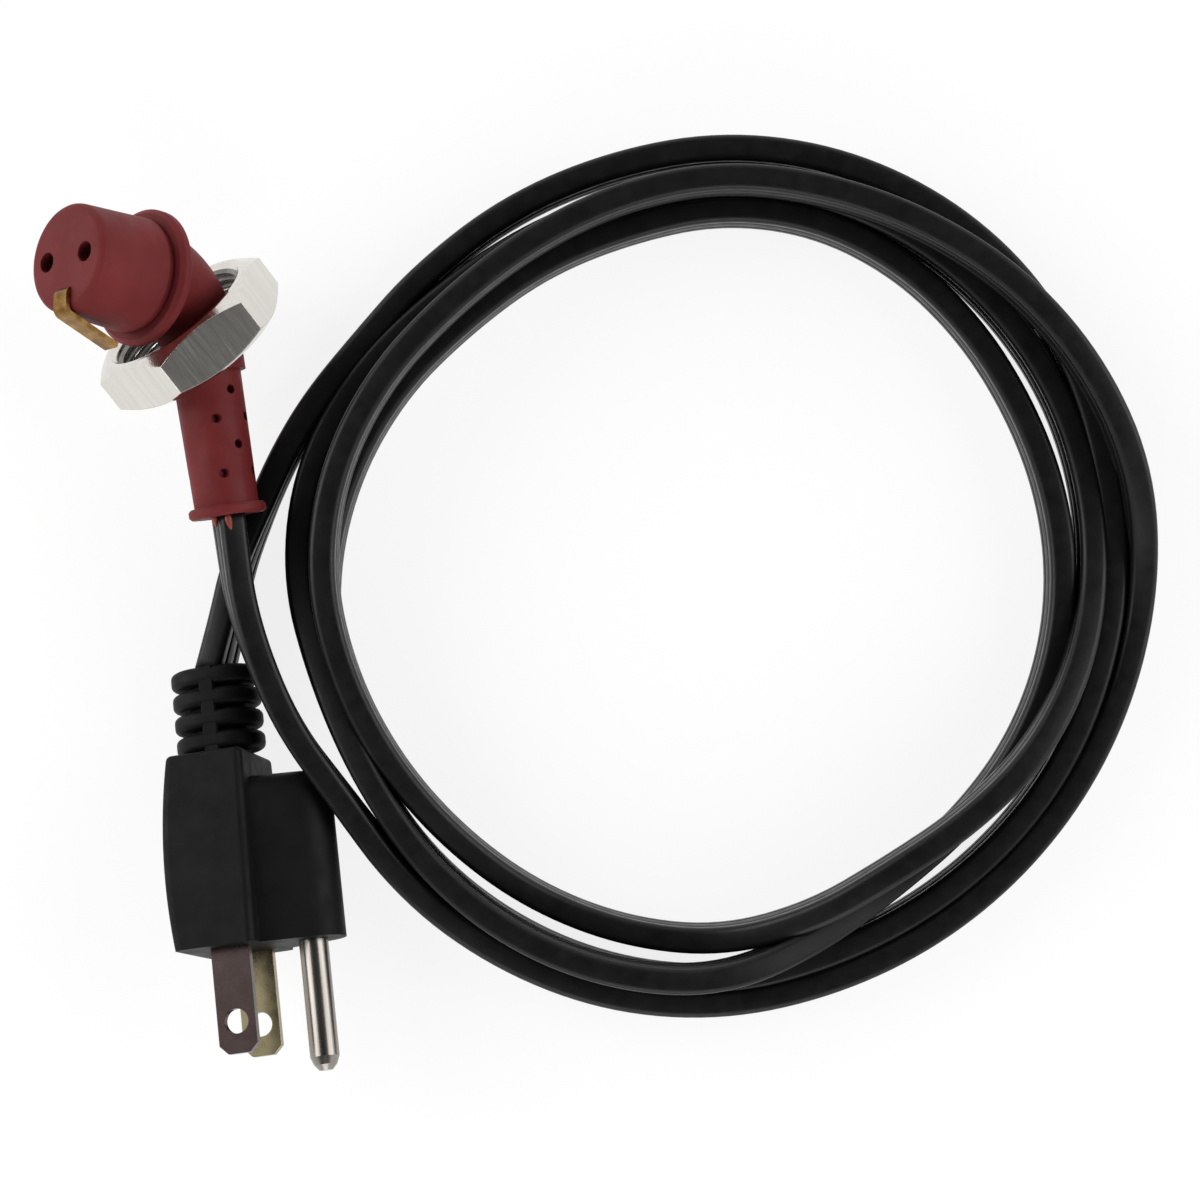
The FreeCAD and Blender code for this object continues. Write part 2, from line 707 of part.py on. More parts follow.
def plug_lead(place, tail):
    """One core from the back of the strain relief to the tail of its blade or pin."""
    rear = -PLUG_LENGTH - RELIEF_LENGTH
    points = [
        FreeCAD.Vector(RELIEF_OFFSET, place * CORE_PITCH, rear),
        FreeCAD.Vector(RELIEF_OFFSET, place * CORE_PITCH, -PLUG_LENGTH + CORE_RUN_IN),
        FreeCAD.Vector(tail.x, tail.y, tail.z - CORE_RUN_OUT),
        tail,
    ]
    return round_lead(points, CORE_DIAMETER / 2)


def plug():
    metal = {
        "line_blade": blade(1),
        "neutral_blade": blade(-1),
        "ground_pin": ground_pin(),
    }
    blade_tail = -BLADE_TAIL
    half = BLADE_SPACING / 2
    leads = {
        "plug_line_lead": plug_lead(1, FreeCAD.Vector(0, half, blade_tail)),
        "plug_ground_lead": plug_lead(0, FreeCAD.Vector(PIN_OFFSET, 0, -PIN_TAIL)),
        "plug_neutral_lead": plug_lead(-1, FreeCAD.Vector(0, -half, blade_tail)),
    }
    bridge = bridge_blank()
    body = plug_blank().fuse(relief_blank())
    body = body.cut([bridge] + list(metal.values()) + list(leads.values()))
    pieces = {"plug_body": body, "plug_bridge": bridge.cut(list(metal.values()))}
    pieces.update(metal)
    pieces.update(leads)
    return {name: placed(shape, PLUG) for name, shape in pieces.items()}


def boot_lead(keep_out):
    start = SLEEVE.Base
    points = [start, start - SLEEVE_AXIS * BOOT_EXIT_RUN] + [vector(point) for point in BOOT_ROUTE]
    return flat_lead("boot side", points, keep_out)


def plug_side_lead(keep_out):
    rear = -PLUG_LENGTH - RELIEF_LENGTH
    end = PLUG.multVec(FreeCAD.Vector(RELIEF_OFFSET, 0, rear + PLUG_SEAT))
    points = [vector(point) for point in PLUG_ROUTE] + [end]
    return flat_lead("plug side", points, keep_out)


def build():
    pieces = connector()
    pieces["coupling_nut"] = coupling_nut()
    pieces.update(plug())
    ends = list(pieces.values())
    pieces["cord_coil"] = coil()
    pieces["cord_boot_side"] = boot_lead(ends)
    pieces["cord_plug_side"] = plug_side_lead(ends)
    return pieces


os.makedirs("parts", exist_ok=True)
for name, shape in build().items():
    shape.translate(FreeCAD.Vector(SHIFT_X, SHIFT_Y, 0))
    solids = shape.Solids
    if len(solids) != 1:
        print(name, "has", len(solids), "solids")
    result = solids[0] if len(solids) == 1 else Part.makeCompound(solids)
    result.exportStep("parts/" + name + ".step")
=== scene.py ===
import math

import bpy
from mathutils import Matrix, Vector


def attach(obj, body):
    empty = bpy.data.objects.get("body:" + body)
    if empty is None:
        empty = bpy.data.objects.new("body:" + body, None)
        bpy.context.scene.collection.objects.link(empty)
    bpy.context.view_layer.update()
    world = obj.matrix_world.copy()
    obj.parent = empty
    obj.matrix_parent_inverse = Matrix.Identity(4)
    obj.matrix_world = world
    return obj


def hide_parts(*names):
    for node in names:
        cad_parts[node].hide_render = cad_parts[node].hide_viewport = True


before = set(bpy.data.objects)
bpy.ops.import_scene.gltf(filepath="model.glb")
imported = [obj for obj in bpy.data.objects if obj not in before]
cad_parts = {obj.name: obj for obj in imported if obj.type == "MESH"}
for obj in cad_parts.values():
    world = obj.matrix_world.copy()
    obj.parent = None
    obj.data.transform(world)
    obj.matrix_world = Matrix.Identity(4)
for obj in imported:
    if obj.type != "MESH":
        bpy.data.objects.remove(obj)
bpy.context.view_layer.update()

MM = 0.001

# The camera looks straight down at the table from above the photograph's middle
IMAGE_SIZE = 1200
PIXELS_PER_MM = 5.96
CAMERA_HEIGHT = 490 * MM
VIEW_CENTRE = (70.89 * MM, -37.595 * MM)
SENSOR = 36.0
CLIP_START = 0.01

# Flat lead
CORD_WIDE = 9.8 * MM
CORD_THICK = 4.3 * MM
CORD_CORNER = 1.0 * MM
CORD_CROWN = 0.12 * MM
GROOVE_AT = 2.05 * MM
GROOVE_WIDE = 0.34 * MM
GROOVE_DEEP = 0.5 * MM
FACE_STEPS = 32
CORNER_STEPS = 4

# The lead stands on edge on the table and turns over to meet the plug and the sleeve
CORD_UP = Vector((0.0, 0.0, 1.0))
BOOT_UP = Vector((0.3, 0.0, 1.0))
PLUG_TURN = 30 * MM
BOOT_TURN = 60 * MM

# Coupling nut and the thread inside it
NUT_CENTRE = Vector((4.19, 5.755, 15.08)) * MM
NUT_AXIS = Vector((-0.538709, 0.733364, 0.414693))
NUT_SIDE = Vector((-0.760155, -0.635333, 0.136071))
THREAD_RADIUS = 12.05 * MM
THREAD_DEPTH = 0.6 * MM
THREAD_PITCH = 1.27 * MM
THREAD_FROM = -2.6 * MM
THREAD_TO = 3.5 * MM
THREAD_STEPS = 72
THREAD_FLANK = 0.45
THREAD_CREST = 0.15
THREAD_RUNOUT = 0.25
THREAD_LEAST = 0.05

# Plug and its ribbed strain relief
PLUG_FACE = Vector((12.99, -94.295, 16.22)) * MM
PLUG_AXIS = Vector((0.119206, -0.970857, 0.207912))
PLUG_SIDE = Vector((0.974752, 0.154258, 0.161441))
PLUG_UP = Vector((-0.188808, 0.183418, 0.964733))
RELIEF_AT = (-31.8 - 14.6) * MM
RELIEF_OFFSET = -0.4 * MM
RELIEF_PITCH = 3.65 * MM
RELIEF_DISCS = 4
RELIEF_SPINE = (2.6 * MM, 14.5 * MM, 5.45 * MM)
SPINE_CORNER = 0.3 * MM
SPINE_FOOT = 3 * MM
SPINE_START = 0.1 * MM
DISC_THICK = 3.05 * MM
DISC_WIDE = 14.7 * MM
DISC_HIGH = 11.0 * MM
DISC_ROUND = 1.1 * MM
DISC_PROUD = 0.03 * MM
DISC_STEPS = 14

# Beads of silicone where the lead leaves the sleeve: middle and size in millimetres
# and slant in degrees
BEADS = [
    ((-59.7, 12.5, 19.9), (0.8, 1.5, 0.7), 14),
    ((-62.1, 12.8, 18.6), (0.65, 1.1, 0.9), 8),
]
BEAD_RINGS = 20
BEAD_SIDES = 24
BEAD_TAPER = 0.3

# Scuff on the sleeve
SCUFF_AT = (-66.3, 24.5, 25.0)
SCUFF_SIZE = 2.2 * MM
SCUFF_COLOUR = (0.42, 0.06, 0.05, 1)
SCUFF_GRAIN = 1400

# A brushed grain is drawn out by this scale along its own way
GRAIN_STRETCH = 0.06
POLISH_SCALE = 2.3
BUMP_STRENGTH = 0.5

# Table: its own grey, and the share of plain glow that the camera sees
TABLE_GREY = 0.88
TABLE_GLOW = 1.08
TABLE_GLOW_SHARE = 0.78
TABLE_REACH = 1.6

# Brightness of the surroundings, from straight below to straight above
SKY = [(0.0, 1.0), (0.45, 0.95), (0.7, 0.16), (1.0, 0.04)]

# Lamps: place from the photograph's middle, width in metres and power in watts
LAMPS = [
    ("left", (-1.1, 0.35, 0.75), 1.1, 9),
    ("right", (1.1, 0.2, 0.75), 1.1, 7),
    ("near", (0.05, -1.1, 0.7), 1.0, 4),
]

# Places on the lead's route are measured in millimetres from the photograph's middle
BOOT_ROUTE = [
    (-60.45, 13.65, 15.08),
    (-59.7, 8.12, 15.3),
    (-58.3, -0.4, 16.4),
    (-55.3, -9.8, 17.0),
    (-50.2, -21.2, 16.2),
    (-43.1, -30.8, 15.2),
]
PLUG_ROUTE = [
    (-39.2, 42.4, 5.0),
    (-46.9, 33.1, 5.0),
    (-52.4, 23.9, 5.0),
    (-56.6, 14.3, 5.0),
    (-60.2, 5.0, 5.2),
    (-61.7, -3.5, 5.9),
    (-63.75, -12.3, 6.6),
]

# Each turn of the coil as stations of angle, radius and height about the coil's middle.
# The turns cross over each other where a station is a layer higher.
COIL_CENTRE = (20.0, 4.0)
COIL_STEP = 15
TURNS = [
    [
        (225, 72.3, 13.0), (245, 72.2, 8.0), (262, 72.0, 5.3), (284, 69.7, 5.0),
        (306, 68.4, 5.0), (325, 68.3, 5.0), (345, 69.1, 5.0), (360, 70.1, 5.6),
        (375, 69.8, 13.0), (390, 68.6, 15.3), (405, 67.4, 15.3), (428, 65.2, 15.2),
        (450, 64.9, 15.2), (466, 63.7, 15.2), (490, 62.1, 15.2), (521, 65.6, 15.2),
    ],
    [
        (540, 65.6, 15.2), (558, 63.6, 15.2), (575, 61.9, 14.0), (590, 61.3, 9.0),
        (606, 61.4, 5.2), (630, 60.6, 6.0), (645, 57.8, 12.0), (658, 55.2, 15.3),
        (672, 55.8, 15.3), (686, 57.9, 15.3), (700, 59.6, 14.0), (714, 61.3, 6.5),
        (728, 62.3, 5.0), (752, 63.7, 5.0), (765, 64.2, 5.0), (782, 65.0, 5.0),
        (810, 65.3, 5.0), (830, 63.8, 5.0), (855, 65.3, 5.0), (870, 68.3, 5.0),
        (884, 70.7, 5.0),
    ],
    [
        (900, 70.5, 5.0), (910, 68.6, 9.5), (921, 65.9, 15.0), (935, 67.0, 15.3),
        (955, 67.8, 15.3), (970, 67.7, 15.3), (989, 66.3, 15.3), (1001, 63.1, 12.0),
        (1012, 58.9, 6.0), (1030, 57.4, 5.0), (1065, 57.0, 5.0), (1096, 56.7, 5.0),
        (1112, 57.0, 5.0), (1125, 58.3, 5.0), (1140, 60.0, 5.0), (1153, 61.2, 5.0),
        (1170, 61.0, 5.0), (1187, 59.5, 5.0), (1215, 60.1, 5.0), (1240, 63.9, 5.0),
    ],
    [
        (1260, 66.0, 5.0), (1280, 67.2, 5.0), (1305, 68.3, 5.0), (1330, 68.3, 5.0),
        (1350, 67.5, 5.0), (1364, 65.5, 5.0), (1386, 64.1, 5.0), (1405, 64.5, 5.0),
        (1425, 64.7, 5.0), (1440, 65.4, 5.0), (1455, 66.0, 5.0), (1470, 68.2, 5.0),
        (1485, 70.1, 5.0), (1508, 71.5, 5.0), (1530, 71.2, 5.0), (1546, 70.2, 5.0),
        (1560, 70.1, 5.0), (1575, 70.0, 5.0),
    ],
]


def in_frame(point):
    """A place in millimetres from the photograph's middle, in the row's frame."""
    x, y, z = point
    return Vector((x * MM + VIEW_CENTRE[0], y * MM + VIEW_CENTRE[1], z * MM))


def coil_points():
    """Points all round the coil's turns, evenly spread over the stations."""
    stations = [station for turn in TURNS for station in turn]
    points = []
    angle = stations[0][0]
    while angle <= stations[-1][0]:
        for before, after in zip(stations, stations[1:]):
            if before[0] <= angle <= after[0]:
                share = (angle - before[0]) / (after[0] - before[0])
                radius = before[1] + (after[1] - before[1]) * share
                height = before[2] + (after[2] - before[2]) * share
                break
        across = COIL_CENTRE[0] + radius * math.cos(math.radians(angle))
        along = COIL_CENTRE[1] + radius * math.sin(math.radians(angle))
        points.append((across, along, height))
        angle += COIL_STEP
    return points


def smooth_line(points):
    """Points read from one smooth spline whose control points are given."""
    curve = bpy.data.curves.new("cord_route", "CURVE")
    curve.dimensions = "3D"
    spline = curve.splines.new("NURBS")
    spline.points.add(len(points) - 1)
    for target, point in zip(spline.points, points):
        target.co = (*in_frame(point), 1)
    spline.order_u = 3
    spline.use_endpoint_u = True
    spline.resolution_u = 8
    holder = bpy.data.objects.new("cord_route", curve)
    mesh = bpy.data.meshes.new_from_object(holder)
    line = [vertex.co.copy() for vertex in mesh.vertices]
    bpy.data.meshes.remove(mesh)
    bpy.data.objects.remove(holder)
    return line


def cord_profile():
    """Section of the lead as (across, up) pairs: round corners and three ribs a face."""
    half_wide = CORD_WIDE / 2
    half_thick = CORD_THICK / 2
    flat = half_wide - CORD_CORNER
    face = []
    for step in range(FACE_STEPS + 1):
        up = flat * (2 * step / FACE_STEPS - 1)
        thick = half_thick
        if abs(up) < GROOVE_AT:
            thick += CORD_CROWN * math.cos(math.pi * up / GROOVE_AT)
        for groove in (-GROOVE_AT, GROOVE_AT):
            thick -= GROOVE_DEEP * math.exp(-(((up - groove) / GROOVE_WIDE) ** 2))
        face.append((thick, up))
    for step in range(1, CORNER_STEPS + 1):
        turn = math.pi / 2 * step / CORNER_STEPS
        across = half_thick - CORD_CORNER + CORD_CORNER * math.cos(turn)
        face.append((across, flat + CORD_CORNER * math.sin(turn)))
    right = [(across, -up) for across, up in reversed(face[FACE_STEPS + 1:])] + face
    left = [(-across, -up) for across, up in right]
    return right + left


def mesh_object(name, vertices, faces, smooth=True):
    """A new object in the scene from its corners and faces."""
    mesh = bpy.data.meshes.new(name)
    mesh.from_pydata([tuple(vertex) for vertex in vertices], [], faces)
    mesh.update()
    built = bpy.data.objects.new(name, mesh)
    bpy.context.scene.collection.objects.link(built)
    if smooth:
        for face in mesh.polygons:
            face.use_smooth = True
    return built


def tube_faces(rings, around):
    """Faces of a closed tube of rings, each with the same count of corners."""
    faces = []
    for ring in range(rings - 1):
        for step in range(around):
            following = (step + 1) % around
            low = ring * around
            high = low + around
            faces.append((low + step, low + following, high + following, high + step))
    faces.append(tuple(reversed(range(around))))
    faces.append(tuple(range((rings - 1) * around, rings * around)))
    return faces


def build_cord():
    """The whole lead from the sleeve's end, round the coil, to the plug."""
    line = smooth_line(BOOT_ROUTE + coil_points() + PLUG_ROUTE)
    profile = cord_profile()
    left = [0.0]
    for after, before in zip(reversed(line), list(reversed(line))[1:]):
        left.append(left[-1] + (after - before).length)
    left.reverse()
    vertices = []
    for index, place in enumerate(line):
        ahead = line[min(index + 1, len(line) - 1)]
        behind = line[max(index - 1, 0)]
        heading = (ahead - behind).normalized()
        near_plug = max(0.0, 1 - left[index] / PLUG_TURN)
        near_boot = max(0.0, 1 - (left[0] - left[index]) / BOOT_TURN)
        upright = CORD_UP.lerp(PLUG_UP, near_plug).lerp(BOOT_UP, near_boot)
        up = (upright - heading * upright.dot(heading)).normalized()
        side = heading.cross(up)
        vertices += [place + side * across + up * high for across, high in profile]
    cord = mesh_object("cord", vertices, tube_faces(len(line), len(profile)))
    return cord, line


def nut_thread():
    """Helical ridge that stands inwards from the bore of the nut."""
    across = NUT_AXIS.cross(NUT_SIDE)
    turns = (THREAD_TO - THREAD_FROM) / THREAD_PITCH
    count = int(turns * THREAD_STEPS)
    half = THREAD_PITCH * THREAD_FLANK
    crest = half * THREAD_CREST
    section = [(0, -half), (THREAD_DEPTH, -crest), (THREAD_DEPTH, crest), (0, half)]
    vertices = []
    for step in range(count + 1):
        turn = 2 * math.pi * step / THREAD_STEPS
        outward = NUT_SIDE * math.cos(turn) + across * math.sin(turn)
        height = THREAD_FROM + THREAD_PITCH * step / THREAD_STEPS
        ends = min(step, count - step) / THREAD_STEPS
        runout = min(1.0, ends / THREAD_RUNOUT)
        for inward, along in section:
            radius = THREAD_RADIUS - inward * max(THREAD_LEAST, runout)
            vertices.append(NUT_CENTRE + outward * radius + NUT_AXIS * (height + along))
    thread = mesh_object("nut_thread", vertices, tube_faces(count + 1, len(section)), smooth=False)
    # The thread's metal is painted far darker than the nut's nickel: painted shade inside the bore
    thread_painted_shade_metal = surface("thread", (0.14, 0.13, 0.12), (0.28, 0.27, 0.25), (0.25, 0.4), metal=1.0)
    thread.data.materials.append(thread_painted_shade_metal)
    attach(thread, "nut")


def stadium(wide, high, inset):
    """Closed outline with round ends, wide along x, as (x, y) points."""
    radius = high / 2 - inset
    reach = (wide - high) / 2
    points = []
    for side in (1, -1):
        for step in range(DISC_STEPS + 1):
            turn = math.pi * (step / DISC_STEPS - 0.5)
            across = reach + radius * math.cos(turn)
            points.append((side * across, side * radius * math.sin(turn)))
    return points


def relief_rims():
    """Round rims over the discs of the strain relief."""
    vinyl = vinyl_material()
    for count in range(RELIEF_DISCS):
        base = RELIEF_AT + count * RELIEF_PITCH
        vertices = []
        for step in range(DISC_STEPS + 1):
            depth = DISC_PROUD + (DISC_THICK - 2 * DISC_PROUD) * step / DISC_STEPS
            to_edge = min(depth, DISC_THICK - depth)
            short = max(0.0, DISC_ROUND - to_edge)
            inset = DISC_ROUND - math.sqrt(DISC_ROUND**2 - short**2) - DISC_PROUD
            for x, y in stadium(DISC_WIDE, DISC_HIGH, inset):
                place = PLUG_FACE + PLUG_SIDE * (x + RELIEF_OFFSET) + PLUG_UP * y
                vertices.append(place + PLUG_AXIS * (base + depth))
        around = 2 * (DISC_STEPS + 1)
        rim = mesh_object("relief_rim_%d" % count, vertices, tube_faces(DISC_STEPS + 1, around))
        rim.data.materials.append(vinyl)
        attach(rim, "cord_set")


def relief_spines():
    """Narrow ridge that joins the discs on the upper and on the lower side."""
    vinyl = vinyl_material()
    wide, length, high = RELIEF_SPINE
    top = wide / 2 - SPINE_CORNER
    shoulder = high - SPINE_CORNER
    outline = [
        (-wide / 2, SPINE_FOOT), (-wide / 2, shoulder), (-top, high),
        (top, high), (wide / 2, shoulder), (wide / 2, SPINE_FOOT),
    ]
    for name, way in (("upper", 1), ("lower", -1)):
        vertices = []
        for along in (SPINE_START, length):
            for x, y in outline:
                place = PLUG_FACE + PLUG_SIDE * (x + RELIEF_OFFSET) + PLUG_UP * (y * way)
                vertices.append(place + PLUG_AXIS * (RELIEF_AT + along))
        faces = tube_faces(2, len(outline))
        spine = mesh_object("relief_spine_" + name, vertices, faces, smooth=False)
        spine.data.materials.append(vinyl)
        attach(spine, "cord_set")


def silicone_beads():
    """Small runs of moulding flash that cling to the lead at the sleeve's end."""
    flash = surface("flash", (0.20, 0.03, 0.02), (0.33, 0.06, 0.03), (0.35, 0.5),
                    scale=400, fine_height=0.03)
    for count, (middle, size, slant) in enumerate(BEADS):
        centre = in_frame(middle)
        lean = math.radians(slant)
        ahead = Vector((-math.sin(lean), math.cos(lean), 0))
        aside = Vector((math.cos(lean), math.sin(lean), 0))
        vertices = []
        for step in range(1, BEAD_RINGS):
            height = math.cos(math.pi * step / BEAD_RINGS)
            taper = 1 - BEAD_TAPER + BEAD_TAPER * height
            girth = math.sin(math.pi * step / BEAD_RINGS) * taper
            for corner in range(BEAD_SIDES):
                turn = 2 * math.pi * corner / BEAD_SIDES
                out = aside * (math.cos(turn) * size[0] * girth)
                up = Vector((0, 0, math.sin(turn) * size[2] * girth))
                vertices.append(centre + (out + up + ahead * (height * size[1])) * MM)
        bead = mesh_object("bead_%d" % count, vertices, tube_faces(BEAD_RINGS - 1, BEAD_SIDES))
        bead.data.materials.append(flash)
        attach(bead, "cord_set")


def material(name):
    """A new material made of shader nodes."""
    made = bpy.data.materials.new(name)
    made.use_nodes = True
    return made


def noise(tree, scale, detail=4.0, roughness=0.55, grain=None):
    """Noise in the object's own coordinates, drawn out along the grain if there is one."""
    place = tree.nodes.new("ShaderNodeTexCoord").outputs["Object"]
    if grain is not None:
        turn = tree.nodes.new("ShaderNodeMapping")
        upright = grain.rotation_difference(Vector((0, 0, 1)))
        turn.inputs["Rotation"].default_value = upright.to_euler()
        tree.links.new(place, turn.inputs["Vector"])
        draw_out = tree.nodes.new("ShaderNodeMapping")
        draw_out.inputs["Scale"].default_value = (1, 1, GRAIN_STRETCH)
        tree.links.new(turn.outputs["Vector"], draw_out.inputs["Vector"])
        place = draw_out.outputs["Vector"]
    texture = tree.nodes.new("ShaderNodeTexNoise")
    texture.inputs["Scale"].default_value = scale
    texture.inputs["Detail"].default_value = detail
    texture.inputs["Roughness"].default_value = roughness
    tree.links.new(place, texture.inputs["Vector"])
    return texture.outputs["Fac"]


def ramp(tree, source, stops):
    """Colours at their places along a value, blended between them."""
    node = tree.nodes.new("ShaderNodeValToRGB")
    while len(node.color_ramp.elements) < len(stops):
        node.color_ramp.elements.new(0.5)
    for element, (place, colour) in zip(node.color_ramp.elements, stops):
        element.position = place
        element.color = (*colour, 1)
    tree.links.new(source, node.inputs["Fac"])
    return node.outputs["Color"]


def grey(value):
    return (value, value, value)


def bump(tree, shader, source, distance):
    """Raise and lower the surface's shading by a value, up to a distance."""
    node = tree.nodes.new("ShaderNodeBump")
    node.inputs["Strength"].default_value = BUMP_STRENGTH
    node.inputs["Distance"].default_value = distance
    tree.links.new(source, node.inputs["Height"])
    tree.links.new(node.outputs["Normal"], shader.inputs["Normal"])
    return node


def surface(name, dark, light, rough, metal=0.0, scale=300, fine=2500, fine_height=0.02,
            grain=None, specular=0.5, edge=0.0):
    """A material whose colour and roughness vary, with a fine texture of some height in mm.

    Its edges catch the light as if rounded by the given edge in mm.
    """
    made = material(name)
    tree = made.node_tree
    shader = tree.nodes["Principled BSDF"]
    shader.inputs["Metallic"].default_value = metal
    shader.inputs["Specular IOR Level"].default_value = specular
    colour = ramp(tree, noise(tree, scale, grain=grain), [(0.3, dark), (0.7, light)])
    tree.links.new(colour, shader.inputs["Base Color"])
    low, high = rough
    wear = noise(tree, scale * POLISH_SCALE, grain=grain)
    polish = ramp(tree, wear, [(0.3, grey(low)), (0.7, grey(high))])
    tree.links.new(polish, shader.inputs["Roughness"])
    texture = noise(tree, fine, detail=2.0, grain=grain)
    grained = bump(tree, shader, texture, fine_height * MM)
    if edge:
        rounded = tree.nodes.new("ShaderNodeBevel")
        rounded.inputs["Radius"].default_value = edge * MM
        tree.links.new(rounded.outputs["Normal"], grained.inputs["Normal"])
    return made


def dress(node, made):
    """Give a CAD node its material."""
    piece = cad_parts[node]
    piece.data.materials.clear()
    piece.data.materials.append(made)


def silicone_material():
    """Matt red-brown silicone with a paler scuff on the sleeve."""
    made = surface("red_silicone", (0.125, 0.0125, 0.014), (0.18, 0.021, 0.022), (0.5, 0.68),
                   scale=90, fine=1600, fine_height=0.04, specular=0.2, edge=0.2)
    tree = made.node_tree
    shader = tree.nodes["Principled BSDF"]
    whole = shader.inputs["Base Color"].links[0].from_socket
    place = tree.nodes.new("ShaderNodeTexCoord")
    away = tree.nodes.new("ShaderNodeVectorMath")
    away.operation = "DISTANCE"
    away.inputs[1].default_value = in_frame(SCUFF_AT)
    tree.links.new(place.outputs["Object"], away.inputs[0])
    near = tree.nodes.new("ShaderNodeMapRange")
    near.inputs["From Max"].default_value = SCUFF_SIZE
    near.inputs["To Min"].default_value = 1.0
    near.inputs["To Max"].default_value = 0.0
    tree.links.new(away.outputs["Value"], near.inputs["Value"])
    flecks = noise(tree, SCUFF_GRAIN, detail=3.0)
    streaks = ramp(tree, flecks, [(0.52, grey(0.0)), (0.6, grey(1.0))])
    amount = tree.nodes.new("ShaderNodeMath")
    amount.operation = "MULTIPLY"
    tree.links.new(near.outputs["Result"], amount.inputs[0])
    tree.links.new(streaks, amount.inputs[1])
    mix = tree.nodes.new("ShaderNodeMixRGB")
    mix.inputs["Color2"].default_value = SCUFF_COLOUR
    tree.links.new(amount.outputs["Value"], mix.inputs["Fac"])
    tree.links.new(whole, mix.inputs["Color1"])
    tree.links.new(mix.outputs["Color"], shader.inputs["Base Color"])
    return made


def cord_material():
    """Black satin jacket of the lead."""
    return surface("cord_jacket", (0.003, 0.003, 0.0035), (0.006, 0.006, 0.0065), (0.34, 0.46),
                   scale=180, fine=1500, fine_height=0.015, specular=0.32)


def vinyl_material():
    """Black moulded vinyl of the plug, more matt than the lead."""
    return surface("plug_vinyl", (0.0028, 0.0028, 0.0033), (0.0055, 0.0055, 0.0062), (0.5, 0.66),
                   scale=120, fine=1300, fine_height=0.03, specular=0.16)


def dress_connector():
    """Materials of the elbow connector, its nut, its strap and its contacts."""
    nickel = surface("nickel", (0.66, 0.635, 0.59), (0.73, 0.705, 0.66), (0.1, 0.2), metal=1.0,
                     scale=900, fine=3600, fine_height=0.03, grain=NUT_AXIS, edge=0.3)
    strap = surface("strap_brass", (0.15, 0.078, 0.02), (0.38, 0.215, 0.07),
                    (0.24, 0.38), metal=1.0, scale=500, edge=0.1)
    contact = surface("contact_brass", (0.35, 0.23, 0.08), (0.5, 0.36, 0.15),
                      (0.3, 0.45), metal=1.0)
    dress("connector_body", silicone_material())
    dress("coupling_nut", nickel)
    dress("ground_strap", strap)
    dress("line_socket", contact)
    dress("neutral_socket", contact)


def dress_plug():
    """Materials of the plug, its blades, its pin and the plate inside it."""
    # The line blade's metal is painted far darker than the neutral blade's: painted shade
    line_metal_painted_shade = surface("line_blade", (0.074, 0.053, 0.051), (0.09, 0.065, 0.063),
                         (0.24, 0.32), metal=1.0,
                         scale=260, fine=900, fine_height=0.001, edge=0.15)
    neutral_metal = surface("neutral_blade", (0.27, 0.23, 0.135), (0.33, 0.285, 0.17),
                            (0.24, 0.32), metal=1.0,
                            scale=220, fine=900, fine_height=0.001, edge=0.15)
    pin_metal = surface("pin_metal", (0.24, 0.22, 0.20), (0.33, 0.305, 0.28),
                        (0.2, 0.3), metal=1.0,
                        scale=500, grain=PLUG_AXIS, fine_height=0.003)
    bridge = surface("bridge_plastic", (0.004, 0.004, 0.0045), (0.008, 0.008, 0.009),
                     (0.5, 0.65), specular=0.2)
    dress("plug_body", vinyl_material())
    dress("plug_bridge", bridge)
    dress("line_blade", line_metal_painted_shade)
    dress("neutral_blade", neutral_metal)
    dress("ground_pin", pin_metal)


def dress_leads():
    """Insulation of the cores at both ends, in the usual three colours."""
    black = surface("line_insulation", (0.01, 0.01, 0.01), (0.02, 0.02, 0.02), (0.25, 0.4))
    white = surface("neutral_insulation", (0.6, 0.6, 0.57), (0.75, 0.75, 0.72), (0.25, 0.4))
    green = surface("ground_insulation", (0.01, 0.12, 0.03), (0.02, 0.2, 0.06), (0.25, 0.4))
    for end in ("connector", "plug"):
        dress(end + "_line_lead", black)
        dress(end + "_neutral_lead", white)
        dress(end + "_ground_lead", green)


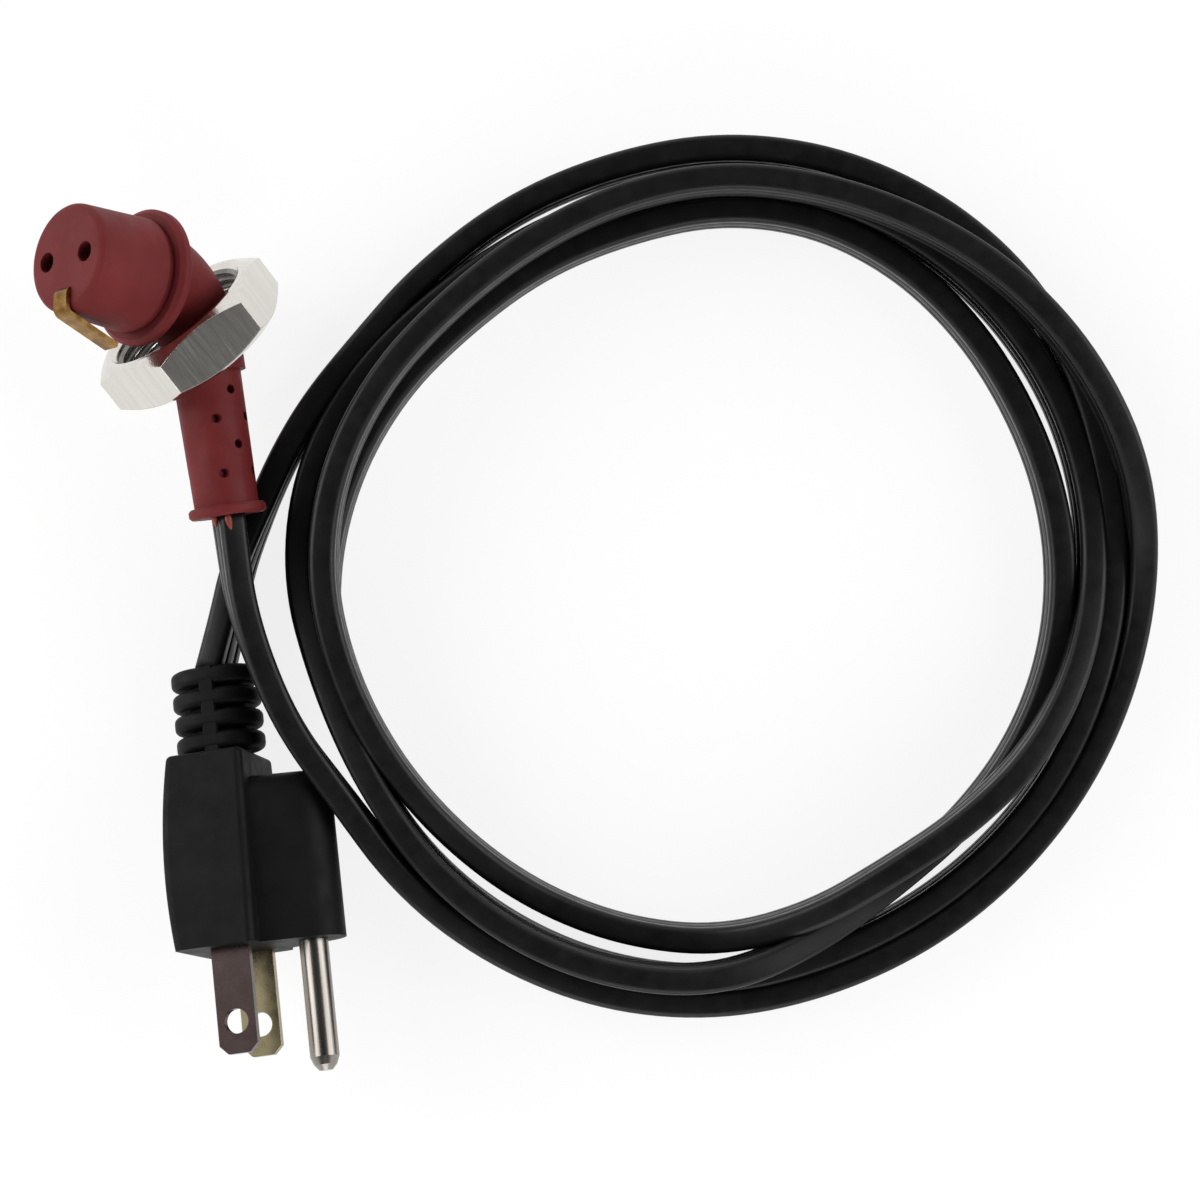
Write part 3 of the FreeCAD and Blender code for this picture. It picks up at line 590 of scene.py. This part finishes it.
def build_floor():
    """Pale table that looks white behind the object and keeps its shadow."""
    made = material("table")
    tree = made.node_tree
    shader = tree.nodes["Principled BSDF"]
    shader.inputs["Base Color"].default_value = (*grey(TABLE_GREY), 1)
    shader.inputs["Roughness"].default_value = 0.9
    shader.inputs["Specular IOR Level"].default_value = 0.0
    path = tree.nodes.new("ShaderNodeLightPath")
    seen = path.outputs["Is Camera Ray"]
    for ray in ("Is Glossy Ray", "Is Transmission Ray"):
        either = tree.nodes.new("ShaderNodeMath")
        either.operation = "MAXIMUM"
        tree.links.new(seen, either.inputs[0])
        tree.links.new(path.outputs[ray], either.inputs[1])
        seen = either.outputs["Value"]
    glow = tree.nodes.new("ShaderNodeEmission")
    glow.inputs["Color"].default_value = (1, 1, 1, 1)
    glow.inputs["Strength"].default_value = TABLE_GLOW
    share = tree.nodes.new("ShaderNodeMath")
    share.operation = "MULTIPLY"
    share.inputs[1].default_value = TABLE_GLOW_SHARE
    tree.links.new(seen, share.inputs[0])
    mix = tree.nodes.new("ShaderNodeMixShader")
    tree.links.new(share.outputs["Value"], mix.inputs["Fac"])
    tree.links.new(shader.outputs["BSDF"], mix.inputs[1])
    tree.links.new(glow.outputs["Emission"], mix.inputs[2])
    output = tree.nodes["Material Output"]
    tree.links.new(mix.outputs["Shader"], output.inputs["Surface"])
    x, y = VIEW_CENTRE
    sides = [(-1, -1), (1, -1), (1, 1), (-1, 1)]
    corners = []
    for across, along in sides:
        corners.append((x + across * TABLE_REACH, y + along * TABLE_REACH, 0))
    floor = mesh_object("table", corners, [(0, 1, 2, 3)], smooth=False)
    floor.data.materials.append(made)


def area_light(name, place, size, power):
    """Round lamp that points at the photograph's middle."""
    light = bpy.data.lights.new(name, "AREA")
    light.shape = "DISK"
    light.size = size
    light.energy = power
    lamp = bpy.data.objects.new(name, light)
    lamp.location = place
    aim = Vector((VIEW_CENTRE[0], VIEW_CENTRE[1], 0)) - Vector(place)
    lamp.rotation_euler = aim.to_track_quat("-Z", "Y").to_euler()
    bpy.context.scene.collection.objects.link(lamp)


def build_light():
    """Bright walls round the table and a dim ceiling, with a soft lamp at each side."""
    world = bpy.data.worlds.new("studio")
    world.use_nodes = True
    tree = world.node_tree
    place = tree.nodes.new("ShaderNodeTexCoord")
    split = tree.nodes.new("ShaderNodeSeparateXYZ")
    tree.links.new(place.outputs["Generated"], split.inputs["Vector"])
    stops = [(height, grey(bright)) for height, bright in SKY]
    shade = ramp(tree, split.outputs["Z"], stops)
    background = tree.nodes["Background"]
    tree.links.new(shade, background.inputs["Color"])
    background.inputs["Strength"].default_value = 1.0
    bpy.context.scene.world = world
    x, y = VIEW_CENTRE
    for name, (across, along, high), size, power in LAMPS:
        area_light(name, (x + across, y + along, high), size, power)


def build_camera():
    """Camera over the table, as wide as the photograph."""
    camera = bpy.data.cameras.new("camera")
    camera.sensor_width = SENSOR
    focal_pixels = PIXELS_PER_MM / MM * CAMERA_HEIGHT
    camera.lens = SENSOR * focal_pixels / IMAGE_SIZE
    camera.clip_start = CLIP_START
    holder = bpy.data.objects.new("camera", camera)
    holder.location = (*VIEW_CENTRE, CAMERA_HEIGHT)
    bpy.context.scene.collection.objects.link(holder)
    bpy.context.scene.camera = holder


build_camera()
build_light()
build_floor()
dress_connector()
dress_plug()
dress_leads()
nut_thread()
relief_rims()
relief_spines()
silicone_beads()
cord, cord_line = build_cord()
cord.data.materials.append(cord_material())
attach(cord, "cord_set")
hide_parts("cord_boot_side", "cord_coil", "cord_plug_side")
bpy.context.scene.view_settings.view_transform = "Standard"
